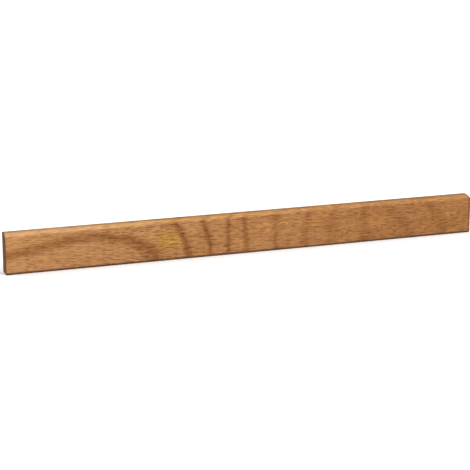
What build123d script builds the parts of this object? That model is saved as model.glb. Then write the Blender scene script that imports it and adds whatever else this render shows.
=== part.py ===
"""Magnetic knife bar: a solid oak bar that holds knives on its front face.

The bar's top is crowned: it is level at the back and falls away in an arc to the front face.
A long channel is routed into the back of the bar. Disc magnets sit in drilled pockets at the
bottom of the channel, with a thin skin of oak between them and the knives. A steel strip
screwed down over the magnets closes their field, and an oak strip glued over it fills the
channel flush with the back. Two keyhole plates let into that strip hang the bar on two screws.

The origin is the centre of the back face, which lies against the wall. +X is to the right of
someone who faces the bar, +Y goes into the wall and +Z is up. Millimetres.

Every sketch on a plane Plane.XZ.offset(d) lies d behind the back face, counted towards the
front, so an extrusion from it runs on towards the front.
"""

import os

from build123d import *

# The bar
bar_length = 600.0
bar_height = 48.0  # at the back
bar_depth = 18.0
crown_drop = 3.2  # how much lower the crowned top is at the front than at the back
edge_radius = 2.0  # hand-eased edges along the bar
front_top_radius = 1.0  # crisper where the top meets the front
end_edge_radius = 0.7  # and round the two ends
front_skin = 2.5  # oak left between a magnet and the knives

# Magnets
magnet_count = 18
magnet_radius = 10.0
magnet_thickness = 5.0
magnet_edge = 0.4  # the plating's chamfer
magnet_clearance = 0.15  # radial, for glue

# Steel strip behind the magnets
yoke_end_margin = 20.0  # from the bar's end to the strip's end
yoke_width = 25.0
yoke_thickness = 3.0
yoke_corner = 2.0
yoke_screw_every = 6  # magnets from one strip screw to the next

# Channel and the strip of oak that fills it
cutter_radius = 6.0
channel_clearance = 0.2  # steel strip to channel wall
glue_gap = 0.08  # oak filler to channel wall

# Keyhole plates
keyhole_spacing = 400.0
plate_length = 50.0
plate_height = 20.0
plate_thickness = 1.5
plate_corner = 4.0
plate_screw_spacing = 36.0
plate_setback = 0.1  # how far the plate lies below the back face
plate_clearance = 0.15
entry_radius = 4.75  # the screw head goes in here
neck_width = 5.0  # the screw's shank slides up here
keyhole_travel = 8.0
head_room_radius = 5.25
head_room_depth = 4.5

# Countersunk wood screws
screw_head_radius = 2.8
screw_shank_radius = 1.5
screw_point = 2.0  # length of the pointed tip
plate_screw_margin = 1.0  # oak left between a plate screw's point and the steel strip
yoke_screw_length = 7.5
recess_width = 0.7
recess_span = 3.2
recess_depth = 0.9
screw_clearance = 0.1  # radial, screw to steel
pilot_clearance = 0.02  # radial, screw to wood
seat_gap = 0.02  # a head's cone to its countersink

# Depths below the back face
magnet_front = bar_depth - front_skin
magnet_back = magnet_front - magnet_thickness
yoke_back = magnet_back - yoke_thickness
plate_back = plate_setback
plate_front = plate_back + plate_thickness

# Lengths and positions that follow
front_top = bar_height / 2 - crown_drop
yoke_length = bar_length - 2 * yoke_end_margin
magnet_pitch = yoke_length / (magnet_count + 1 / 2)
channel_length = yoke_length + 2 * cutter_radius
channel_width = yoke_width + 2 * channel_clearance
magnet_row = [(i - (magnet_count - 1) / 2) * magnet_pitch for i in range(magnet_count)]
yoke_screw_row = [
    (i - magnet_count / 2) * magnet_pitch for i in range(0, magnet_count + 1, yoke_screw_every)
]
plate_middles = {"left": -keyhole_spacing / 2, "right": keyhole_spacing / 2}
head_cone = screw_head_radius - screw_shank_radius  # a right-angled countersink
sink_angle = 90.0
sink_radius = screw_head_radius + screw_clearance
sink_hole_radius = screw_shank_radius + screw_clearance
pilot_radius = screw_shank_radius + pilot_clearance
head_setback = screw_clearance - seat_gap  # how far a screw's head lies below the steel
plate_screw_length = yoke_back - plate_screw_margin - plate_back - head_setback

os.makedirs("parts", exist_ok=True)


def save(builder, name):
    """Label the finished piece and write it as parts/<name>.step."""
    builder.part.label = name
    export_step(builder.part, f"parts/{name}.step")


def back_plane(depth):
    """The plane at this depth below the back face, whose normal points to the front."""
    return Plane.XZ.offset(depth)


def drill_plane(depth):
    """The same plane seen from behind, so that holes are drilled from it towards the front."""
    return -Plane.XZ.offset(depth)


def countersunk_screw(length):
    """A screw with its head's face on XY and its point at +Z, cross recess cut."""
    with BuildPart() as screw:
        with BuildSketch(Plane.XZ):
            with BuildLine():
                Polyline(
                    (0, 0),
                    (screw_head_radius, 0),
                    (screw_shank_radius, head_cone),
                    (screw_shank_radius, length - screw_point),
                    (0, length),
                    close=True,
                )
            make_face()
        revolve(axis=Axis.Z)
        with BuildSketch():
            Rectangle(recess_span, recess_width)
            Rectangle(recess_width, recess_span)
        extrude(amount=recess_depth, mode=Mode.SUBTRACT)
    return screw.part


def driven_screws(length, depth, spots):
    """A group of separate screws, driven towards the front from this depth."""
    screw = countersunk_screw(length)
    with BuildPart(back_plane(depth)) as group:
        with Locations(*spots):
            add(screw)
    return group


yoke_screw_spots = [(x, 0) for x in yoke_screw_row]

# The oak bar, with its channel, magnet pockets and pilot holes
with BuildPart() as oak_bar:
    with BuildSketch(Plane.YZ):
        with BuildLine():
            crown = TangentArc((0, bar_height / 2), (-bar_depth, front_top), tangent=(-1, 0))
            Polyline(crown @ 1, (-bar_depth, -bar_height / 2), (0, -bar_height / 2), crown @ 0)
        make_face()
    extrude(amount=bar_length / 2, both=True)
    long_edges = oak_bar.edges().filter_by(Axis.X)
    front_top_edge = long_edges.group_by(Axis.Y)[0].sort_by(Axis.Z)[-1:]
    fillet(front_top_edge, front_top_radius)
    fillet(long_edges - front_top_edge, edge_radius)
    ends = oak_bar.faces().filter_by(Axis.X)
    fillet(ends.edges(), end_edge_radius)
    with BuildSketch(back_plane(0)):
        RectangleRounded(channel_length, channel_width, cutter_radius)
    extrude(amount=magnet_back, mode=Mode.SUBTRACT)
    with BuildSketch(back_plane(magnet_back)):
        with Locations(*[(x, 0) for x in magnet_row]):
            Circle(magnet_radius + magnet_clearance)
    extrude(amount=magnet_thickness, mode=Mode.SUBTRACT)
    with Locations(drill_plane(yoke_back + head_setback)):
        with Locations(*yoke_screw_spots):
            Hole(pilot_radius, yoke_screw_length)
save(oak_bar, "oak_bar")

# Magnets, one disc in each pocket
for number, x in enumerate(magnet_row, start=1):
    with BuildPart() as magnet:
        with BuildSketch(back_plane(magnet_back)):
            with Locations((x, 0)):
                Circle(magnet_radius)
        extrude(amount=magnet_thickness)
        chamfer(magnet.edges().filter_by(GeomType.CIRCLE), magnet_edge)
    save(magnet, f"magnet_{number:02d}")

# The steel strip over the magnets, and its screws
with BuildPart() as steel_yoke:
    with BuildSketch(back_plane(yoke_back)):
        RectangleRounded(yoke_length, yoke_width, yoke_corner)
    extrude(amount=yoke_thickness)
    with Locations(drill_plane(yoke_back)):
        with Locations(*yoke_screw_spots):
            CounterSinkHole(sink_hole_radius, sink_radius, counter_sink_angle=sink_angle)
save(steel_yoke, "steel_yoke")

save(driven_screws(yoke_screw_length, yoke_back + head_setback, yoke_screw_spots), "yoke_screws")

# The keyhole plates and their screws
plate_spots = {
    side: [(x - plate_screw_spacing / 2, 0), (x + plate_screw_spacing / 2, 0)]
    for side, x in plate_middles.items()
}
for side, x in plate_middles.items():
    with BuildPart() as keyhole_plate:
        with BuildSketch(back_plane(plate_back)):
            with Locations((x, 0)):
                RectangleRounded(plate_length, plate_height, plate_corner)
            with Locations((x, -keyhole_travel / 2)):
                Circle(entry_radius, mode=Mode.SUBTRACT)
            with Locations((x, 0)):
                SlotCenterToCenter(keyhole_travel, neck_width, rotation=90, mode=Mode.SUBTRACT)
        extrude(amount=plate_thickness)
        with Locations(drill_plane(plate_back)):
            with Locations(*plate_spots[side]):
                CounterSinkHole(sink_hole_radius, sink_radius, counter_sink_angle=sink_angle)
    save(keyhole_plate, f"keyhole_plate_{side}")
    screws = driven_screws(plate_screw_length, plate_back + head_setback, plate_spots[side])
    save(screws, f"keyhole_screws_{side}")

# The oak strip that fills the channel, let in for the plates and the wall screws' heads
with BuildPart() as oak_filler:
    with BuildSketch(back_plane(0)):
        RectangleRounded(
            channel_length - 2 * glue_gap, channel_width - 2 * glue_gap, cutter_radius - glue_gap
        )
    extrude(amount=yoke_back)
    with BuildSketch(back_plane(0)):
        with Locations(*[(x, 0) for x in plate_middles.values()]):
            RectangleRounded(
                plate_length + 2 * plate_clearance,
                plate_height + 2 * plate_clearance,
                plate_corner + plate_clearance,
            )
    extrude(amount=plate_front, mode=Mode.SUBTRACT)
    with BuildSketch(back_plane(plate_front)):
        with Locations(*[(x, 0) for x in plate_middles.values()]):
            SlotCenterToCenter(keyhole_travel, 2 * head_room_radius, rotation=90)
    extrude(amount=head_room_depth, mode=Mode.SUBTRACT)
    with Locations(drill_plane(plate_back + head_setback)):
        with Locations(*plate_spots["left"], *plate_spots["right"]):
            Hole(pilot_radius, plate_screw_length)
save(oak_filler, "oak_filler")
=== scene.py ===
"""Magnetic knife bar: an oiled oak bar with magnets inside, hung on two keyhole plates.

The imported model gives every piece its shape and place, in metres, with the origin at the
centre of the back face, +X along the bar, +Y into the wall and +Z up. This file gives the
pieces their finishes, cuts the threads and recesses of the screws, and sets the stage.
"""

import math

import bpy
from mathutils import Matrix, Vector


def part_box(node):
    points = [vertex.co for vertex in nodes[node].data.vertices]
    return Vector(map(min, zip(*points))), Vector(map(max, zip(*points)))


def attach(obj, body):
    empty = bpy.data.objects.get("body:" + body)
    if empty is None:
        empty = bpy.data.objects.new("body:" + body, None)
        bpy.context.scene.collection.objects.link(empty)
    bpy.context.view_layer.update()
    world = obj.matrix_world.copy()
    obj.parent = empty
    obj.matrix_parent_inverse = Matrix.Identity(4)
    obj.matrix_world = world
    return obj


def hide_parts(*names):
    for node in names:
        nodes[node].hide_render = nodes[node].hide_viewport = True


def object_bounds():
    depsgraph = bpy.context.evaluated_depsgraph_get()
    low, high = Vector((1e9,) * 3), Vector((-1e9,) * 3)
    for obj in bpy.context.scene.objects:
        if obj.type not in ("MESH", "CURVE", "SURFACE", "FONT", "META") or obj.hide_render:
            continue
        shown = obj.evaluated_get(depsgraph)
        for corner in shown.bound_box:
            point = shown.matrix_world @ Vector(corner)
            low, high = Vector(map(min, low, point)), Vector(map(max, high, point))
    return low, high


bl_info = {
    "name": "Magnetic Knife Bar",
    "version": (1, 0, 0),
    "blender": (4, 5, 0),
    "location": "View3D > Sidebar > Knife Bar",
    "description": "Oiled oak knife bar with magnets, steel strip, keyhole plates and screws",
    "category": "Add Mesh",
}

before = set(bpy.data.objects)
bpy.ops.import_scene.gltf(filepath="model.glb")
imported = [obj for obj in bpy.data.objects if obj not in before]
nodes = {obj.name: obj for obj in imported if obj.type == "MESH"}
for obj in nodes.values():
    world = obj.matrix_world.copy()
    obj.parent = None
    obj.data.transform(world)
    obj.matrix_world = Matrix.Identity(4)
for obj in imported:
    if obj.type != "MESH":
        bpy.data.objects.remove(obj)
CAD_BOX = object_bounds()
MM = 0.001

BAR_LOW, BAR_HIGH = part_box("oak_bar")
BAR_LENGTH, BAR_DEPTH, BAR_HEIGHT = ((BAR_HIGH - BAR_LOW) / MM)[:]
CROWN_DROP = 3.2  # mm, how much lower the crowned top is at the front than at the back
FRONT_HEIGHT = BAR_HEIGHT - CROWN_DROP


# ---------------------------------------------------------------------------
# Node trees in short words
# ---------------------------------------------------------------------------


def of_kind(sockets, kind):
    """Those of a node's sockets that carry this kind of value."""
    return [socket for socket in sockets if socket.type == kind]


class Tree:
    """Adds nodes to a node tree and joins them. A link may stand wherever a number may."""

    def __init__(self, tree):
        self.tree = tree

    def node(self, kind, **settings):
        """A new node with these settings."""
        made = self.tree.nodes.new(kind)
        for name, value in settings.items():
            setattr(made, name, value)
        return made

    def put(self, socket, value):
        """Joins a link to an input, or sets the input to a number, vector or colour."""
        if isinstance(value, bpy.types.NodeSocket):
            self.tree.links.new(value, socket)
        elif value is not None:
            socket.default_value = value

    def math(self, operation, a, b=None, c=None, clamp=False):
        """The result of one operation on up to three numbers."""
        made = self.node("ShaderNodeMath", operation=operation, use_clamp=clamp)
        for socket, value in zip(made.inputs, (a, b, c)):
            self.put(socket, value)
        return made.outputs[0]

    def vector(self, operation, a, b=None, scale=None):
        """The result of one operation on vectors."""
        made = self.node("ShaderNodeVectorMath", operation=operation)
        self.put(made.inputs[0], a)
        self.put(made.inputs[1], b)
        if scale is not None:
            self.put(made.inputs["Scale"], scale)
        return made.outputs[0]

    def length(self, vector):
        """How long a vector is."""
        made = self.node("ShaderNodeVectorMath", operation="LENGTH")
        self.put(made.inputs[0], vector)
        return made.outputs["Value"]

    def split(self, vector):
        """The three numbers of a vector."""
        made = self.node("ShaderNodeSeparateXYZ")
        self.put(made.inputs[0], vector)
        return made.outputs

    def join(self, x, y, z):
        """A vector of three numbers."""
        made = self.node("ShaderNodeCombineXYZ")
        for socket, value in zip(made.inputs, (x, y, z)):
            self.put(socket, value)
        return made.outputs[0]

    def ramp(self, value, low, high, to_low=0.0, to_high=1.0, smooth=True):
        """value taken from low..high to to_low..to_high, and held at both ends."""
        made = self.node("ShaderNodeMapRange", clamp=True)
        made.interpolation_type = "SMOOTHSTEP" if smooth else "LINEAR"
        for socket, number in zip(made.inputs, (value, low, high, to_low, to_high)):
            self.put(socket, number)
        return made.outputs[0]

    def noise(self, vector, size, detail=2.0, roughness=0.5):
        """Noise whose lumps are size = (x, y, z) long, between 0 and 1 around 0.5."""
        made = self.node("ShaderNodeTexNoise")
        lumps = self.vector("DIVIDE", vector, size)
        self.put(made.inputs["Vector"], lumps)
        self.put(made.inputs["Scale"], 1.0)
        self.put(made.inputs["Detail"], detail)
        self.put(made.inputs["Roughness"], roughness)
        return made.outputs[0]

    def cells(self, vector, size):
        """Cells of that size: the way here from a cell's middle, and its three random numbers."""
        made = self.node("ShaderNodeTexVoronoi")
        lumps = self.vector("DIVIDE", vector, size)
        self.put(made.inputs["Vector"], lumps)
        self.put(made.inputs["Scale"], 1.0)
        off_middle = self.vector("SUBTRACT", lumps, made.outputs["Position"])
        return self.vector("MULTIPLY", off_middle, size), self.split(made.outputs["Color"])

    def specks(self, vector, size, half, share):
        """Lens-shaped specks, half long on each side of their middles, in that share of the cells."""
        way, chance = self.cells(vector, size)
        reach = self.length(self.vector("DIVIDE", way, half))
        there = self.math("LESS_THAN", chance[0], share)
        strength = self.ramp(chance[1], 0.0, 1.0, 0.5, 1.0, smooth=False)
        return self.math("MULTIPLY", self.math("MULTIPLY", there, strength), self.ramp(reach, 1.0, 0.5))

    def curve(self, value, points):
        """A curve through points, which lie between 0 and 1 on both axes."""
        made = self.node("ShaderNodeFloatCurve")
        line = made.mapping.curves[0]
        while len(line.points) < len(points):
            line.points.new(0.5, 0.5)
        for handle, (x, y) in zip(line.points, points):
            handle.location = (x, y)
            handle.handle_type = "AUTO_CLAMPED"
        made.mapping.update()
        self.put(made.inputs["Value"], value)
        return made.outputs[0]

    def mix(self, factor, a, b, blend="MIX"):
        """Colour a changed towards colour b, or blended with it."""
        made = self.node("ShaderNodeMix", data_type="RGBA", blend_type=blend, clamp_factor=True)
        first, second = of_kind(made.inputs, "RGBA")
        self.put(made.inputs[0], factor)
        self.put(first, a)
        self.put(second, b)
        return of_kind(made.outputs, "RGBA")[0]


def new_group(name, inputs, outputs, tree_kind="ShaderNodeTree"):
    """A node group with these sockets, its wiring, and its input and output nodes."""
    group = bpy.data.node_groups.new(name, tree_kind)
    for direction, sockets in (("INPUT", inputs), ("OUTPUT", outputs)):
        for label, kind in sockets:
            group.interface.new_socket(label, in_out=direction, socket_type=kind)
    wires = Tree(group)
    return group, wires, wires.node("NodeGroupInput"), wires.node("NodeGroupOutput")


def new_material(name, **constants):
    """A material, its wiring and its shader, with constants set on the shader's own sockets."""
    material = bpy.data.materials.new(name)
    material.use_nodes = True
    wires = Tree(material.node_tree)
    shader = material.node_tree.nodes["Principled BSDF"]
    for label, value in constants.items():
        shader.inputs[label.replace("_", " ")].default_value = value
    return material, wires, shader


def relief(t, shader, height, strength, depth):
    """Raises and sinks the surface by this height, depth mm at most."""
    bump = t.node("ShaderNodeBump")
    t.put(bump.inputs["Strength"], strength)
    t.put(bump.inputs["Distance"], depth * MM)
    t.put(bump.inputs["Height"], height)
    t.put(shader.inputs["Normal"], bump.outputs[0])


def finish_node(name, material):
    """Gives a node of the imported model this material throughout."""
    mesh = nodes[name].data
    mesh.materials.clear()
    mesh.materials.append(material)


# ---------------------------------------------------------------------------
# Oak
# ---------------------------------------------------------------------------

# Where the growth rings run out at the front face's bottom and top edges: (mm from the left
# end, ring number). The first ring arches over the left third of the bar.
RING_FEET = [
    (0, 0.72), (40, 0.62), (65, 0.55), (105, 0.48), (140, 0.6), (155, 0.76), (178, 1), (219, 2),
    (247, 3), (271, 4), (293, 5), (331, 6), (369, 7), (405, 8), (452, 9), (511, 10), (560, 11),
    (600, 11.7),
]
RING_HEADS = [
    (0, 1.8), (40, 1.5), (65, 1.34), (105, 1.27), (140, 1.41), (155, 1.48), (177, 1.68), (202, 2),
    (237, 3), (270, 4), (290, 5), (333, 6), (375, 7), (406, 8), (452, 9), (478, 10), (535, 11),
    (600, 12),
]
RING_COUNT = 13.0
RING_BEND = 1.9  # how late a ring turns from its place at the foot to its place at the head
RING_LEAN = 0.85  # how far a ring shifts to the right for its way into the bar
RING_THICKNESS = 2.6  # mm, from one ring to the next on the end grain

# How boldly the rings show: (share of the bar's length, share of full colour)
RING_BOLDNESS = [(0, 0.85), (0.25, 0.95), (0.42, 0.9), (0.5, 0.75), (0.6, 0.36), (1, 0.36)]

GOLDEN_PLACE = (-103, -BAR_DEPTH, 1)  # mm, the middle of the golden patch
GOLDEN_REACH = (26, 60, 20)  # mm from there to where it ends
FIBRE_DIP = 21.0  # mm, how far the lowest fibres dip under the arch
FIBRE_SWAY = 5.0  # mm, how far fibres stray
FILLER_SHIFT = (900, 0, 300)  # mm, to another board's fibres

# How far the painted shade reaches in from an edge, in mm
SHADE_REACH = 2.2
RIGHT_REACH = 4.2
BOTTOM_EDGE = 1.2  # the painted shade at the bottom starts this much higher

# Streaks of darker and paler fibres: mm long along the fibres, into the bar and up, then their
# detail and roughness, and how far they lighten and darken the wood
STREAKS = {
    "broad": ((80, 5.0, 5.0), 2.0, 0.5, 0.07),
    "middling": ((22, 1.3, 1.3), 1.0, 0.5, 0.10),
    "fine": ((10.0, 0.5, 0.5), 2.0, 0.6, 0.17),
    "hair": ((5.0, 0.16, 0.16), 2.0, 0.6, 0.20),
}
STREAK_RANGE = (0.25, 0.75)  # between these the noise goes from darkest to palest
PATCHES = (60, 26, 22)  # mm, clouds of a more golden colour
RAGGED_EDGES = (12, 1.2, 1.2)  # mm, fibres that fray a ring's edge
RAGGEDNESS = 0.3  # of a ring

# Rays, flakes and pores: the cells that hold one each, half its own size, and the share filled
RAY_CELLS = (9.0, 2.0, 1.3)
RAY_HALF = (6.0, 1.2, 0.38)
RAY_SHARE = 0.85
FLAKE_CELLS = (9.0, 9.0, 2.1)
FLAKE_HALF = (5.0, 14.0, 0.5)
FLAKE_SHARE = 0.6
FLAKE_SHIFT = (3.7, 5.1, 40.9)  # mm, so that the flakes don't follow the rays
PORE_CELLS = (6.0, 0.6, 0.6)
PORE_HALF = (3.2, 0.22, 0.22)
EARLY_PORES = 0.45  # more of the cells hold a pore in early wood

# What each mark multiplies the wood's shade by
BETWEEN_RAYS = 1.03
ON_RAY = 0.56
ON_FLAKE = 1.22
ON_PORE = 0.4
ON_END_RING = 0.45  # taken off, not multiplied

# Early wood across one ring: (share of the ring, strength)
RING_BAND = [(0, 1.0), (0.07, 0.85), (0.17, 0.3), (0.3, 0.06), (0.76, 0.05), (0.88, 0.5), (1, 1.0)]
END_RING_BAND = [(0, 1.0), (0.35, 0.1), (0.8, 0.0), (1, 1.0)]
END_RING_SWAY = 4.0  # mm
END_RING_FLATNESS = 1.6
PITH_DEPTH = 70.0  # mm, the pith's place below the bar's middle

# Tints of aged wood and of the painted sheen on the top, and the deep brown painted as shade on the
# edges and on the end grain, which is also darker in itself
AGED_TINT = (0.73, 0.64, 0.54, 1.0)
SHEEN_TINT = (0.72, 0.53, 0.29, 1.0)
SHADE_AND_END_GRAIN_BROWN = (0.10, 0.055, 0.03, 1.0)
WOOD_THROUGH_SHADE_AND_END_GRAIN_BROWN = 0.08
GRAIN_RELIEF = 0.15  # mm, how deep the grain is
GREEN_DEPTH = 1.25  # darker wood is redder: its green and blue fall faster than its red
BLUE_DEPTH = 1.5


def early_wood(t, wood):
    """The band of open pores where each ring begins, frayed because it is cut through long fibres."""
    ragged = t.noise(wood["Fibre"], RAGGED_EDGES, 2.0, 0.6)
    ring = t.math("MULTIPLY_ADD", t.math("SUBTRACT", ragged, 0.5), RAGGEDNESS, wood["Rings"])
    return t.math("MULTIPLY", t.curve(t.math("FRACT", ring), RING_BAND), wood["Boldness"])


def end_rings(t, wood, sway):
    """Rings on the end grain, close arcs round the pith."""
    sawn = t.split(t.vector("ADD", wood["Place"], t.vector("SCALE", sway, scale=END_RING_SWAY)))
    inwards = t.math("MULTIPLY", sawn[1], END_RING_FLATNESS)
    from_pith = t.length(t.join(0.0, inwards, t.math("ADD", sawn[2], PITH_DEPTH)))
    arc = t.curve(t.math("FRACT", t.math("DIVIDE", from_pith, RING_THICKNESS)), END_RING_BAND)
    return t.math("MULTIPLY", arc, wood["End"])


def oak_colour(t, wood, early, patch, shade):
    """The wood's colour: pale, golden and brown, then given the grain's shade, aged, lit by a painted
    sheen, and darkened by painted shade on the edges and end grain, which is also darker in itself.
    """
    gilded = t.math("ADD", wood["Gilt"], t.ramp(patch, 0.5, 0.75, 0.0, 0.25))
    colour = t.mix(gilded, wood["Pale"], wood["Golden"])
    colour = t.mix(early, colour, wood["Brown"])
    tint = t.join(shade, t.math("POWER", shade, GREEN_DEPTH), t.math("POWER", shade, BLUE_DEPTH))
    colour = t.mix(1.0, colour, tint, "MULTIPLY")
    colour = t.mix(wood["Aged"], colour, t.mix(1.0, colour, AGED_TINT, "MULTIPLY"))
    # Painted sheen: paler, yellower wood on the top towards the left end
    colour = t.mix(wood["Painted Sheen"], colour, SHEEN_TINT)
    # Painted shade: darker towards a deep brown along the edges and on the end grain, which is also
    # darker in itself
    darkened = t.mix(WOOD_THROUGH_SHADE_AND_END_GRAIN_BROWN, SHADE_AND_END_GRAIN_BROWN, colour)
    darkened = t.mix(1.0, darkened, t.join(shade, shade, shade), "MULTIPLY")
    return t.mix(wood["Painted Shade and End Grain"], colour, darkened)


def oak_group():
    """Oak from its ring number and its place in mm: colour, roughness and surface height."""
    # Two inputs carry painted light: the shade painted along the edges and on the end grain, and the
    # sheen painted on the top
    group, t, given, result = new_group(
        "Oak",
        [("Rings", "NodeSocketFloat"), ("Boldness", "NodeSocketFloat"), ("Fibre", "NodeSocketVector"),
         ("Place", "NodeSocketVector"), ("Painted Shade and End Grain", "NodeSocketFloat"), ("Gilt", "NodeSocketFloat"),
         ("Aged", "NodeSocketFloat"), ("Painted Sheen", "NodeSocketFloat"), ("End", "NodeSocketFloat"),
         ("Pale", "NodeSocketColor"), ("Brown", "NodeSocketColor"), ("Golden", "NodeSocketColor")],
        [("Color", "NodeSocketColor"), ("Roughness", "NodeSocketFloat"), ("Height", "NodeSocketFloat")],
    )
    wood = {socket.name: socket for socket in given.outputs if socket.name}
    fibre = wood["Fibre"]

    early = early_wood(t, wood)
    patch = t.noise(wood["Place"], PATCHES, 1.0, 0.4)

    shade = 1.0
    streaks = {}
    for name, (size, detail, rough, contrast) in STREAKS.items():
        streaks[name] = t.noise(fibre, size, detail, rough)
        tone = t.ramp(streaks[name], *STREAK_RANGE, 1 - contrast, 1 + contrast, smooth=False)
        shade = t.math("MULTIPLY", shade, tone)

    # Rays: thin plates that run from bark to pith, dark dashes here and pale flakes there
    rays = t.specks(fibre, RAY_CELLS, RAY_HALF, RAY_SHARE)
    flakes = t.specks(t.vector("ADD", fibre, FLAKE_SHIFT), FLAKE_CELLS, FLAKE_HALF, FLAKE_SHARE)

    # Pores lie in clusters, and each is a long narrow cell
    crowd = t.ramp(streaks["middling"], 0.3, 0.6, 0.4, 0.1, smooth=False)
    pores = t.specks(fibre, PORE_CELLS, PORE_HALF, t.math("MULTIPLY_ADD", early, EARLY_PORES, crowd))

    for marks, off, on in ((rays, BETWEEN_RAYS, ON_RAY), (flakes, 1.0, ON_FLAKE), (pores, 1.0, ON_PORE)):
        shade = t.math("MULTIPLY", shade, t.ramp(marks, 0.0, 1.0, off, on, smooth=False))
    arcs = end_rings(t, wood, t.join(0.0, patch, streaks["middling"]))
    shade = t.math("MULTIPLY", shade, t.math("SUBTRACT", 1.0, t.math("MULTIPLY", arcs, ON_END_RING)))

    # Pores are rougher than oiled wood, and so are the edges and end grain darkened by painted shade
    roughness = t.ramp(streaks["fine"], 0.2, 0.8, 0.46, 0.58, smooth=False)
    roughness = t.math("MULTIPLY_ADD", pores, 0.2, roughness)
    roughness = t.math("MULTIPLY_ADD", wood["Painted Shade and End Grain"], 0.5, roughness)

    height = t.math("MULTIPLY_ADD", streaks["hair"], 0.2, t.math("MULTIPLY", streaks["fine"], 0.25))
    t.put(result.inputs["Color"], oak_colour(t, wood, early, patch, shade))
    t.put(result.inputs["Roughness"], roughness)
    t.put(result.inputs["Height"], t.math("SUBTRACT", height, pores))
    return group


def wander(t, place):
    """Fibres that stray a little from the length of the board."""
    sway = t.join(0.5, t.noise(place, (140, 60, 60), 1.0), t.noise(place, (150, 70, 50), 1.0))
    centred = t.vector("SUBTRACT", sway, (0.5, 0.5, 0.5))
    return t.vector("ADD", place, t.vector("SCALE", centred, scale=FIBRE_SWAY))


def bar_grain(t, place):
    """Rings, their boldness, fibres, gilt, age and painted sheen of the bar, cut at a slant in front."""
    x, y, z = t.split(place)
    behind = t.math("ADD", y, BAR_DEPTH)
    shifted = t.math("MULTIPLY_ADD", behind, -RING_LEAN, x)
    along = t.math("DIVIDE", t.math("ADD", shifted, BAR_LENGTH / 2), BAR_LENGTH, clamp=True)
    up = t.math("DIVIDE", t.math("ADD", z, BAR_HEIGHT / 2), FRONT_HEIGHT, clamp=True)
    feet = t.curve(along, [(mm / BAR_LENGTH, ring / RING_COUNT) for mm, ring in RING_FEET])
    heads = t.curve(along, [(mm / BAR_LENGTH, ring / RING_COUNT) for mm, ring in RING_HEADS])
    climb = t.math("POWER", up, RING_BEND)
    front = t.math("MULTIPLY_ADD", t.math("SUBTRACT", heads, feet), climb, feet)
    rings = t.math("MULTIPLY", front, RING_COUNT)
    boldness = t.math("MULTIPLY", t.curve(along, RING_BOLDNESS), t.ramp(behind, 0.5, 3.0, 1.0, 0.5))

    # One golden patch, between the first ring and the second, and more gold inside the bar
    from_patch = t.vector("DIVIDE", t.vector("SUBTRACT", place, GOLDEN_PLACE), GOLDEN_REACH)
    inside = t.math("MULTIPLY", t.ramp(behind, 1.0, 5.0), t.ramp(along, 0.0, 0.35, 0.1, 0.6))
    gilt = t.math("MAXIMUM", t.ramp(t.length(from_patch), 1.0, 0.1), inside)

    # Fibres dip towards the right under the arch
    slope = t.ramp(along, 0.0, 0.27, 0.0, FIBRE_DIP, smooth=False)
    dip = t.math("MULTIPLY", t.math("SUBTRACT", 1.0, up), slope)
    fibre = wander(t, t.join(x, y, t.math("ADD", z, dip)))

    aged = t.ramp(along, 0.0, 0.85, smooth=False)
    # Painted sheen: the top lighter towards the left end
    painted_sheen = t.math("MULTIPLY", t.ramp(behind, 0.5, 4.0), t.ramp(along, 0.1, 0.4, 0.12, 0.0))
    return rings, boldness, fibre, gilt, aged, painted_sheen


def filler_grain(t, place):
    """The same for the filler strip, which is cut from a plainer board."""
    x, y, z = t.split(place)

    # Its rings cross it at a slant: one every 55 mm along it, 8 mm up it and 4.5 mm into it, in waves
    slant = t.math("DIVIDE", x, 55.0)
    wave = t.math("MULTIPLY", t.math("SINE", t.math("DIVIDE", x, 90.0)), 0.9)
    across = t.math("DIVIDE", t.math("ADD", z, 90.0), 8.0)
    depth = t.math("DIVIDE", y, 4.5)
    rings = t.math("ADD", t.math("ADD", slant, wave), t.math("ADD", across, depth))
    boldness, gilt, aged, painted_sheen = 0.6, 0.0, 0.0, 0.0
    return rings, boldness, wander(t, t.vector("ADD", place, FILLER_SHIFT)), gilt, aged, painted_sheen


def bar_shade_and_end_grain(t, place, facing):
    """Painted shade on the arrises, the right end and the top towards the wall, and the end grain,
    darker in itself and painted darker as shade.
    """
    x, y, z = t.split(place)
    face_x, _, face_z = t.split(facing)

    def near(value, edge, reach=SHADE_REACH):
        """How near this is to an edge, from 0 at its reach to 1."""
        return t.ramp(value, edge - reach, edge - reach / 3)

    ends = near(t.math("ABSOLUTE", x), BAR_LENGTH / 2)
    right = near(x, BAR_LENGTH / 2, RIGHT_REACH)
    faces = near(t.math("ABSOLUTE", z), BAR_HEIGHT / 2)
    bottom = near(t.math("MULTIPLY", z, -1.0), BAR_HEIGHT / 2 - BOTTOM_EDGE)
    front = near(t.math("MULTIPLY", y, -1.0), BAR_DEPTH)
    back = near(y, 0.0)

    # Painted shade: the top darkens in two steps towards the wall
    rear = t.math("ADD", t.ramp(y, -11.0, -4.5, 0.0, 0.56), t.ramp(y, -17.0, -7.0, 0.0, 0.08))
    rear_painted_shade = t.math("MULTIPLY", rear, t.ramp(face_z, 0.5, 0.9))

    # Painted shade: dark lines along the bottom front arris, the corners of the ends, the back arrises
    # and the right end
    arris = t.math("MAXIMUM", t.math("MULTIPLY", bottom, front), t.math("MULTIPLY", ends, faces))
    arris = t.math("MAXIMUM", arris, t.math("MULTIPLY", back, t.math("MAXIMUM", faces, ends)))
    arris = t.math("MAXIMUM", arris, t.math("MULTIPLY", right, 0.8))
    arris = t.math("MAXIMUM", arris, rear_painted_shade)
    # The end grain: darker in itself, and painted darker still as shade
    end_grain = t.ramp(t.math("ABSOLUTE", face_x), 0.78, 0.97, 0.0, 0.94)
    return t.math("MAXIMUM", t.math("MULTIPLY", arris, 0.95), end_grain)


def filler_shade_and_end_grain(t, place, facing):
    """The filler's end grain, darker in itself and painted darker as shade."""
    return t.ramp(t.math("ABSOLUTE", t.split(facing)[0]), 0.35, 0.9, 0.0, 0.7)


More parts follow.
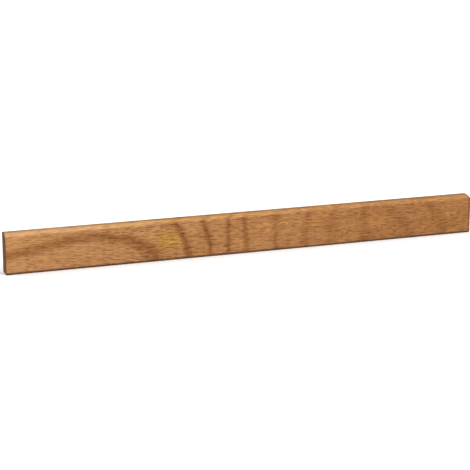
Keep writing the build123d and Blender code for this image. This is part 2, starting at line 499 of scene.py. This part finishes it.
def oak_material(name, grain, shade_and_end_grain, look):
    """Oiled oak whose rings, fibres and painted sheen, and whose painted-shade edges and dark end grain,
    come from these functions.
    """
    material, t, shader = new_material(name, Specular_IOR_Level=0.1, IOR=1.48)
    where = t.node("ShaderNodeTexCoord")
    facing = where.outputs["Normal"]
    place = t.vector("SCALE", where.outputs["Object"], scale=1 / MM)
    rings, boldness, fibre, gilt, aged, painted_sheen = grain(t, place)
    values = {
        "Rings": rings, "Boldness": boldness, "Fibre": fibre, "Place": place,
        # Painted shade along the edges with the darker end grain, and a painted sheen on the top towards
        # the left
        "Painted Shade and End Grain": shade_and_end_grain(t, place, facing), "Gilt": gilt, "Aged": aged, "Painted Sheen": painted_sheen,
        "End": t.ramp(t.math("ABSOLUTE", t.split(facing)[0]), 0.6, 0.95),
        "Pale": (*look.pale, 1.0), "Brown": (*look.brown, 1.0), "Golden": (*look.golden, 1.0),
    }
    oak = t.node("ShaderNodeGroup", node_tree=bpy.data.node_groups.get("Oak") or oak_group())
    for label, value in values.items():
        t.put(oak.inputs[label], value)
    t.put(shader.inputs["Base Color"], oak.outputs["Color"])
    t.put(shader.inputs["Roughness"], oak.outputs["Roughness"])
    relief(t, shader, oak.outputs["Height"], look.bump, GRAIN_RELIEF)
    return material


# ---------------------------------------------------------------------------
# Plated metal
# ---------------------------------------------------------------------------


# Marks in the plating, in mm: the cells that hold one each, half its own size, and the share filled
CLOUDS = (11, 11, 11)
SCUFF_CELLS = (6, 3, 3)
SCUFF_HALF = (2.6, 0.07, 0.07)
SCUFF_SHARE = 0.7
PIT_CELLS = (2.4, 2.4, 2.4)
PIT_HALF = (0.14, 0.14, 0.14)
PIT_SHARE = 0.4
PLATING_RELIEF = 0.02  # mm, how deep the lines and marks are

# Length of the fine lines that rolling, pressing or turning leaves on each metal, in mm
PLATE_LINES = (18, 0.15, 0.15)
STRIP_LINES = (60, 0.25, 0.25)
NICKEL_LINES = (1.6, 1.6, 1.6)
SCREW_LINES = (0.9, 0.12, 0.9)


def plated_material(name, colour, tarnish, lines, rough):
    """Plated metal with fine lines = (x, y, z) mm long, cloudy plating, scuffs and small pits."""
    material, t, shader = new_material(name, Metallic=1.0)
    place = t.vector("SCALE", t.node("ShaderNodeTexCoord").outputs["Object"], scale=1 / MM)
    brushed = t.noise(place, lines, 3.0, 0.6)
    clouds = t.noise(place, CLOUDS, 4.0, 0.55)
    sway = t.join(0.0, t.noise(place, (7, 7, 7), 1.0), t.noise(place, (9, 9, 9), 1.0))
    scuffs = t.specks(t.vector("ADD", place, sway), SCUFF_CELLS, SCUFF_HALF, SCUFF_SHARE)
    pits = t.specks(place, PIT_CELLS, PIT_HALF, PIT_SHARE)
    worn = t.math("MAXIMUM", scuffs, pits)

    base = t.mix(t.ramp(clouds, 0.35, 0.7), (*colour, 1.0), (*tarnish, 1.0))
    tone = t.ramp(brushed, 0.25, 0.75, 0.9, 1.06, smooth=False)
    tone = t.math("MULTIPLY", tone, t.ramp(pits, 0.0, 1.0, 1.0, 0.6, smooth=False))
    t.put(shader.inputs["Base Color"], t.mix(1.0, base, t.join(tone, tone, tone), "MULTIPLY"))

    roughness = t.ramp(brushed, 0.25, 0.75, rough - 0.06, rough + 0.07, smooth=False)
    roughness = t.math("ADD", roughness, t.ramp(clouds, 0.4, 0.7, 0.0, 0.08))
    t.put(shader.inputs["Roughness"], t.math("MULTIPLY_ADD", worn, 0.15, roughness))
    relief(t, shader, t.math("SUBTRACT", brushed, worn), 0.35, PLATING_RELIEF)
    return material


# ---------------------------------------------------------------------------
# Screws
# ---------------------------------------------------------------------------

# A screw is wrapped from a sheet of rows and sides. Its rows run from the middle of its head's face
# to its point, and the face, the rim and the cone end at these shares of them.
SCREW_ROWS = 84
SCREW_SIDES = 28
FACE_ROWS = 4 / SCREW_ROWS
RIM_ROWS = 6 / SCREW_ROWS
CONE_ROWS = 10 / SCREW_ROWS
RIM_DROP = 0.06 * MM  # the eased rim of the head
THREAD_RUN_IN = 0.1  # share of the shank over which the thread starts
RIDGE_TOP = 0.05  # a ridge is flat this far from its middle, in turns,
RIDGE_FOOT = 0.34  # and ends here
WELD = 0.002 * MM

# The cross recess is cut by wedges that start above the head's face
RECESS_START = 0.2 * MM
RECESS_SPAN_TAPER = 0.5
RECESS_WIDTH_TAPER = 0.35
CREASE = math.radians(32)  # edges sharper than this stay sharp


def screws_group():
    """A row of countersunk screws along X, heads to +Y, with cut threads and cross recesses."""
    group, t, given, result = new_group(
        "Countersunk Screws",
        [("Count", "NodeSocketInt"), ("Spacing", "NodeSocketFloat"), ("First", "NodeSocketVector"),
         ("Length", "NodeSocketFloat"), ("Head Radius", "NodeSocketFloat"),
         ("Shank Radius", "NodeSocketFloat"), ("Core Radius", "NodeSocketFloat"),
         ("Pitch", "NodeSocketFloat"), ("Point", "NodeSocketFloat"),
         ("Recess Span", "NodeSocketFloat"), ("Recess Width", "NodeSocketFloat"),
         ("Recess Depth", "NodeSocketFloat"), ("Seed", "NodeSocketInt"),
         ("Material", "NodeSocketMaterial")],
        [("Geometry", "NodeSocketGeometry")],
        "GeometryNodeTree",
    )
    size = {socket.name: socket for socket in given.outputs if socket.name}
    sheet, places = screw_sheet(t, size)
    wrapped = t.node("GeometryNodeSetPosition")
    t.put(wrapped.inputs["Geometry"], sheet)
    t.put(wrapped.inputs["Position"], places)
    closed = t.node("GeometryNodeMergeByDistance")
    t.put(closed.inputs["Geometry"], wrapped.outputs[0])
    t.put(closed.inputs["Distance"], WELD)

    cut = t.node("GeometryNodeMeshBoolean", operation="DIFFERENCE", solver="EXACT")
    t.put(cut.inputs["Mesh 1"], closed.outputs[0])
    for crosswise in (False, True):
        t.put(cut.inputs["Mesh 2"], recess_wing(t, size, crosswise))

    row = t.node("GeometryNodeMeshLine")
    t.put(row.inputs["Count"], size["Count"])
    t.put(row.inputs["Start Location"], size["First"])
    t.put(row.inputs["Offset"], t.join(size["Spacing"], 0.0, 0.0))

    # Each screw stops at its own turn
    chance = t.node("FunctionNodeRandomValue", data_type="FLOAT")
    least, most = of_kind(chance.inputs, "VALUE")[:2]
    t.put(least, 0.0)
    t.put(most, math.tau)
    t.put(chance.inputs["Seed"], size["Seed"])
    placed = t.node("GeometryNodeInstanceOnPoints")
    t.put(placed.inputs["Points"], row.outputs[0])
    t.put(placed.inputs["Instance"], cut.outputs[0])
    t.put(placed.inputs["Rotation"], t.join(0.0, of_kind(chance.outputs, "VALUE")[0], 0.0))
    real = t.node("GeometryNodeRealizeInstances")
    t.put(real.inputs[0], placed.outputs[0])
    finish = t.node("GeometryNodeSetMaterial")
    t.put(finish.inputs["Geometry"], real.outputs[0])
    t.put(finish.inputs["Material"], size["Material"])
    t.put(result.inputs[0], finish.outputs[0])
    return group


def screw_sheet(t, size):
    """A flat grid and the places that wrap it round into a threaded screw."""
    grid = t.node("GeometryNodeMeshGrid")
    t.put(grid.inputs["Size X"], 1.0)
    t.put(grid.inputs["Size Y"], 1.0)
    t.put(grid.inputs["Vertices X"], SCREW_SIDES + 1)
    t.put(grid.inputs["Vertices Y"], SCREW_ROWS + 1)
    flat = t.split(t.node("GeometryNodeInputPosition").outputs[0])
    turn = t.math("ADD", flat[0], 0.5)
    row = t.math("ADD", flat[1], 0.5)

    # How deep each row lies below the head's face
    cone_drop = t.math("SUBTRACT", size["Head Radius"], size["Shank Radius"])
    below = t.ramp(row, CONE_ROWS, 1.0, 0.0, 1.0, smooth=False)
    shank = t.math("MULTIPLY", t.math("SUBTRACT", size["Length"], cone_drop), below)
    cone = t.math("MULTIPLY", cone_drop, t.ramp(row, RIM_ROWS, CONE_ROWS, smooth=False))
    rim = t.math("MULTIPLY", RIM_DROP, t.ramp(row, FACE_ROWS, RIM_ROWS, smooth=False))
    depth = t.math("MAXIMUM", t.math("ADD", shank, cone), rim)

    # The thread is a ridge that climbs one pitch for each turn
    climb = t.math("ADD", t.math("DIVIDE", depth, size["Pitch"]), turn)
    off_ridge = t.math("ABSOLUTE", t.math("SUBTRACT", t.math("FRACT", climb), 0.5))
    ridge = t.ramp(off_ridge, RIDGE_TOP, RIDGE_FOOT, 1.0, 0.0, smooth=False)
    ridge = t.math("MULTIPLY", ridge, t.ramp(below, 0.0, THREAD_RUN_IN))
    core = t.ramp(below, 0.0, THREAD_RUN_IN, size["Shank Radius"], size["Core Radius"])
    threaded = t.math("MULTIPLY_ADD", ridge, t.math("SUBTRACT", size["Shank Radius"], core), core)
    left = t.math("DIVIDE", t.math("SUBTRACT", size["Length"], depth), size["Point"])
    threaded = t.math("MULTIPLY", threaded, t.math("MINIMUM", left, 1.0))

    # The head's rows, where the thread is put out of the way by adding 1 to its radius
    threaded = t.math("ADD", threaded, t.math("LESS_THAN", row, CONE_ROWS))
    head = t.ramp(row, RIM_ROWS, CONE_ROWS, size["Head Radius"], size["Shank Radius"], smooth=False)
    face_radius = t.math("SUBTRACT", size["Head Radius"], RIM_DROP)
    face = t.math("MULTIPLY", face_radius, t.math("DIVIDE", row, FACE_ROWS))
    radius = t.math("MINIMUM", t.math("MINIMUM", head, face), threaded)

    angle = t.math("MULTIPLY", turn, math.tau)
    x = t.math("MULTIPLY", radius, t.math("COSINE", angle))
    z = t.math("MULTIPLY", radius, t.math("SINE", angle))
    return grid.outputs[0], t.join(x, t.math("MULTIPLY", depth, -1.0), z)


def recess_wing(t, size, crosswise):
    """One of the two crossed wedges that cut the recess, narrower at the bottom."""
    block = t.node("GeometryNodeMeshCube")
    t.put(block.inputs["Size"], (1.0, 1.0, 1.0))
    place = t.split(t.node("GeometryNodeInputPosition").outputs[0])
    sunk = t.math("SUBTRACT", 0.5, place[1])
    span_left = t.math("SUBTRACT", 1.0, t.math("MULTIPLY", sunk, RECESS_SPAN_TAPER))
    width_left = t.math("SUBTRACT", 1.0, t.math("MULTIPLY", sunk, RECESS_WIDTH_TAPER))
    along = t.math("MULTIPLY", size["Recess Span"], span_left)
    across = t.math("MULTIPLY", size["Recess Width"], width_left)
    if crosswise:
        along, across = across, along
    cut_depth = t.math("ADD", size["Recess Depth"], RECESS_START)
    down = t.math("SUBTRACT", RECESS_START, t.math("MULTIPLY", sunk, cut_depth))
    corner = t.join(t.math("MULTIPLY", place[0], along), down, t.math("MULTIPLY", place[2], across))
    shaped = t.node("GeometryNodeSetPosition")
    t.put(shaped.inputs["Geometry"], block.outputs[0])
    t.put(shaped.inputs["Position"], corner)
    return shaped.outputs[0]


def make_screws(context, name, node, count, seed, material, look):
    """A row of detailed screws in the place of a node's plain ones."""
    low, high = (Vector(corner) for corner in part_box(node))
    head = (high.z - low.z) / 2
    first = Vector((low.x + head, high.y, (low.z + high.z) / 2))
    values = {
        "Count": count, "Spacing": (high.x - low.x - 2 * head) / (count - 1), "First": first,
        "Length": high.y - low.y, "Head Radius": head, "Shank Radius": look.shank,
        "Core Radius": look.core, "Pitch": look.pitch, "Point": look.point,
        "Recess Span": look.recess_span, "Recess Width": look.recess_width,
        "Recess Depth": look.recess_depth, "Seed": seed, "Material": material,
    }
    piece = bpy.data.objects.new(name, bpy.data.meshes.new(name))
    context.scene.collection.objects.link(piece)
    modifier = piece.modifiers.new("Screws", "NODES")
    modifier.node_group = bpy.data.node_groups.get("Countersunk Screws") or screws_group()
    for socket in modifier.node_group.interface.items_tree:
        if socket.in_out == "INPUT":
            modifier[socket.identifier] = values[socket.name]
    made = piece.evaluated_get(context.evaluated_depsgraph_get())
    mesh = bpy.data.meshes.new_from_object(made)
    piece.modifiers.clear()
    piece.data = mesh
    mesh.name = name
    mesh.shade_smooth()
    mesh.set_sharp_from_angle(angle=CREASE)
    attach(piece, "root")
    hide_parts(node)


# ---------------------------------------------------------------------------
# Settings
# ---------------------------------------------------------------------------


def colour_property(name, description, default):
    """A colour setting."""
    return bpy.props.FloatVectorProperty(
        name=name, description=description, subtype="COLOR", size=3, min=0.0, max=1.0, default=default
    )


class KnifeBarOak(bpy.types.PropertyGroup):
    """Colours of the oak."""

    pale: colour_property("Pale Wood", "Colour of the paler late wood", (0.423, 0.205, 0.080))
    brown: colour_property("Brown Wood", "Colour of the dark part of a ring", (0.245, 0.091, 0.026))
    golden: colour_property("Golden Wood", "Colour of the golden patches", (0.47, 0.245, 0.052))
    bump: bpy.props.FloatProperty(
        name="Grain Depth", description="How strongly the open pores show", default=0.6, min=0.0, max=1.0
    )


class KnifeBarMetal(bpy.types.PropertyGroup):
    """Colours of the metals."""

    plate: colour_property("Plates", "Colour of the keyhole plates' zinc", (0.60, 0.61, 0.62))
    plate_tarnish: colour_property("Dull Plates", "Colour of their duller clouds", (0.50, 0.52, 0.56))
    strip: colour_property("Strip", "Colour of the steel strip's zinc", (0.47, 0.48, 0.50))
    strip_tarnish: colour_property("Dull Strip", "Colour of its duller clouds", (0.40, 0.41, 0.42))
    screw: colour_property("Screws", "Colour of the screws' zinc", (0.60, 0.58, 0.53))
    screw_tarnish: colour_property("Dull Screws", "Colour of their duller clouds", (0.58, 0.52, 0.40))
    nickel: colour_property("Nickel", "Colour of the magnets' plating", (0.66, 0.63, 0.58))
    nickel_tarnish: colour_property("Dull Nickel", "Colour of its duller clouds", (0.60, 0.56, 0.50))


def length_property(name, description, mm):
    """A length setting, given in mm and kept in metres."""
    return bpy.props.FloatProperty(
        name=name, description=description, unit="LENGTH", min=0.0, default=mm * MM
    )


class KnifeBarScrews(bpy.types.PropertyGroup):
    """Sizes of the countersunk screws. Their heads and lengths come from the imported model."""

    shank: length_property("Thread Radius", "Radius over the thread", 1.5)
    core: length_property("Core Radius", "Radius at the bottom of the thread", 1.0)
    pitch: length_property("Pitch", "From one turn of the thread to the next", 1.1)
    point: length_property("Point", "Length of the tapered point", 2.0)
    recess_span: length_property("Recess Span", "Tip to tip across the cross recess", 3.2)
    recess_width: length_property("Recess Width", "Width of each arm of the recess", 0.75)
    recess_depth: length_property("Recess Depth", "Depth of the recess", 0.95)


class KnifeBarStage(bpy.types.PropertyGroup):
    """Camera, floor and light."""

    lens: bpy.props.FloatProperty(
        name="Lens", description="Focal length on a 36 mm sensor", default=114.65, min=10.0,
        unit="CAMERA",
    )
    camera_place: bpy.props.FloatVectorProperty(
        name="Camera Place", description="Where the camera stands", subtype="XYZ", unit="LENGTH",
        default=(-0.6407, -1.6538, 0.4248),
    )
    camera_turn: bpy.props.FloatProperty(
        name="Camera Turn", description="How far the camera looks to the right of +Y", subtype="ANGLE",
        default=math.radians(20.748),
    )
    camera_dip: bpy.props.FloatProperty(
        name="Camera Dip", description="How far the camera looks down", subtype="ANGLE",
        default=math.radians(13.657),
    )
    floor_colour: colour_property("Floor", "Colour of the floor", (0.76, 0.76, 0.76))
    light_place: bpy.props.FloatVectorProperty(
        name="Light Place", description="Where the soft studio light hangs", subtype="XYZ",
        unit="LENGTH", default=(1.6, -2.4, 3.6),
    )
    light_width: bpy.props.FloatProperty(
        name="Light Width", description="Width of the soft studio light", default=1.6, min=0.1,
        unit="LENGTH",
    )
    light_power: bpy.props.FloatProperty(
        name="Light Power", description="Power of the soft studio light", default=90.0, min=0.0,
        unit="POWER",
    )


SETTINGS = {
    "knife_bar_oak": KnifeBarOak,
    "knife_bar_metal": KnifeBarMetal,
    "knife_bar_screws": KnifeBarScrews,
    "knife_bar_stage": KnifeBarStage,
}


# ---------------------------------------------------------------------------
# Operators
# ---------------------------------------------------------------------------

SENSOR_WIDTH = 36.0  # mm
FARTHEST_VIEW = 50.0  # metres
FLOOR_SIZE = 40.0  # metres
SKY_TOP = 0.9  # how far up the sky is at its brightest
SKY_LOW_LIGHT = 0.35
SKY_TOP_LIGHT = 1.7


class KNIFEBAR_OT_oak(bpy.types.Operator):
    """Oil the oak bar and the strip that fills its channel"""

    bl_idname = "knife_bar.oak"
    bl_label = "Oak Bar and Filler"

    def execute(self, context):
        look = context.scene.knife_bar_oak
        finish_node("oak_bar", oak_material("Bar Oak", bar_grain, bar_shade_and_end_grain, look))
        finish_node("oak_filler", oak_material("Filler Oak", filler_grain, filler_shade_and_end_grain, look))
        return {"FINISHED"}


class KNIFEBAR_OT_metal(bpy.types.Operator):
    """Plate the magnets, the steel strip and the keyhole plates"""

    bl_idname = "knife_bar.metal"
    bl_label = "Magnets, Strip and Plates"

    def execute(self, context):
        look = context.scene.knife_bar_metal
        plate = plated_material("Plate Zinc", look.plate, look.plate_tarnish, PLATE_LINES, 0.3)
        strip = plated_material("Strip Zinc", look.strip, look.strip_tarnish, STRIP_LINES, 0.42)
        nickel = plated_material("Nickel", look.nickel, look.nickel_tarnish, NICKEL_LINES, 0.16)
        finish_node("steel_yoke", strip)
        for side in ("left", "right"):
            finish_node(f"keyhole_plate_{side}", plate)
        for name in nodes:
            if name.startswith("magnet"):
                finish_node(name, nickel)
        return {"FINISHED"}


class KNIFEBAR_OT_screws(bpy.types.Operator):
    """Cut the threads and cross recesses of the countersunk screws"""

    bl_idname = "knife_bar.screws"
    bl_label = "Screws"

    def execute(self, context):
        look = context.scene.knife_bar_screws
        metal = context.scene.knife_bar_metal
        zinc = plated_material("Screw Zinc", metal.screw, metal.screw_tarnish, SCREW_LINES, 0.3)
        for name, node, count, seed in (
            ("yoke_screw_set", "yoke_screws", 4, 1),
            ("keyhole_screw_set_left", "keyhole_screws_left", 2, 2),
            ("keyhole_screw_set_right", "keyhole_screws_right", 2, 3),
        ):
            make_screws(context, name, node, count, seed, zinc, look)
        return {"FINISHED"}


class KNIFEBAR_OT_stage(bpy.types.Operator):
    """Set the camera, the floor and the studio light"""

    bl_idname = "knife_bar.stage"
    bl_label = "Stage"

    def execute(self, context):
        look = context.scene.knife_bar_stage
        self.camera(context, look)
        self.floor(look)
        self.sky(context)
        self.light(context, look)
        context.scene.view_settings.view_transform = "Standard"
        return {"FINISHED"}

    def camera(self, context, look):
        """The camera, turned by the angles in the settings."""
        data = bpy.data.cameras.new("Camera")
        data.lens = look.lens
        data.sensor_width = SENSOR_WIDTH
        data.clip_end = FARTHEST_VIEW
        camera = bpy.data.objects.new("Camera", data)
        camera.location = look.camera_place
        camera.rotation_euler = (math.pi / 2 - look.camera_dip, 0.0, -look.camera_turn)
        context.scene.collection.objects.link(camera)
        context.scene.camera = camera

    def floor(self, look):
        """A plain floor under the bar."""
        bpy.ops.mesh.primitive_plane_add(size=FLOOR_SIZE, location=(0, 0, CAD_BOX[0][2]))
        floor = bpy.context.object
        floor.name = "Floor"
        material, _, shader = new_material("Floor", Roughness=0.9, Specular_IOR_Level=0.1)
        shader.inputs["Base Color"].default_value = (*look.floor_colour, 1.0)
        floor.data.materials.append(material)

    def sky(self, context):
        """A sky that lights the bar most from overhead, and that the camera sees as plain white."""
        world = bpy.data.worlds.new("Studio")
        world.use_nodes = True
        t = Tree(world.node_tree)
        background = world.node_tree.nodes["Background"]
        up = t.split(t.node("ShaderNodeTexCoord").outputs["Generated"])[2]
        lit = t.ramp(up, 0.0, SKY_TOP, SKY_LOW_LIGHT, SKY_TOP_LIGHT)
        seen = t.node("ShaderNodeLightPath").outputs["Is Camera Ray"]
        t.put(background.inputs["Color"], (1, 1, 1, 1))
        strength = t.math("MULTIPLY_ADD", seen, t.math("SUBTRACT", 1.0, lit), lit)
        t.put(background.inputs["Strength"], strength)
        context.scene.world = world

    def light(self, context, look):
        """One wide soft light, turned to the middle of the bar."""
        data = bpy.data.lights.new("Key Light", "AREA")
        data.size = look.light_width
        data.energy = look.light_power
        light = bpy.data.objects.new("Key Light", data)
        light.location = look.light_place
        light.rotation_euler = (-Vector(look.light_place)).to_track_quat("-Z", "Y").to_euler()
        context.scene.collection.objects.link(light)


OPERATORS = (KNIFEBAR_OT_oak, KNIFEBAR_OT_metal, KNIFEBAR_OT_screws, KNIFEBAR_OT_stage)


class KNIFEBAR_PT_panel(bpy.types.Panel):
    """Knife bar in the 3D view's sidebar"""

    bl_idname = "KNIFEBAR_PT_panel"
    bl_label = "Magnetic Knife Bar"
    bl_space_type = "VIEW_3D"
    bl_region_type = "UI"
    bl_category = "Knife Bar"

    def draw(self, context):
        for group in SETTINGS:
            settings = getattr(context.scene, group)
            box = self.layout.box()
            for name in settings.__annotations__:
                box.prop(settings, name)
        for operator in OPERATORS:
            self.layout.operator(operator.bl_idname)


CLASSES = (*SETTINGS.values(), *OPERATORS, KNIFEBAR_PT_panel)


def register():
    """Registers the settings, operators and panel."""
    for made in CLASSES:
        bpy.utils.register_class(made)
    for name, group in SETTINGS.items():
        setattr(bpy.types.Scene, name, bpy.props.PointerProperty(type=group))


def unregister():
    """Takes them away again."""
    for name in SETTINGS:
        delattr(bpy.types.Scene, name)
    for made in reversed(CLASSES):
        bpy.utils.unregister_class(made)


def main():
    """Builds everything in order."""
    register()
    bpy.ops.knife_bar.oak()
    bpy.ops.knife_bar.metal()
    bpy.ops.knife_bar.screws()
    bpy.ops.knife_bar.stage()


if __name__ == "__main__":
    main()
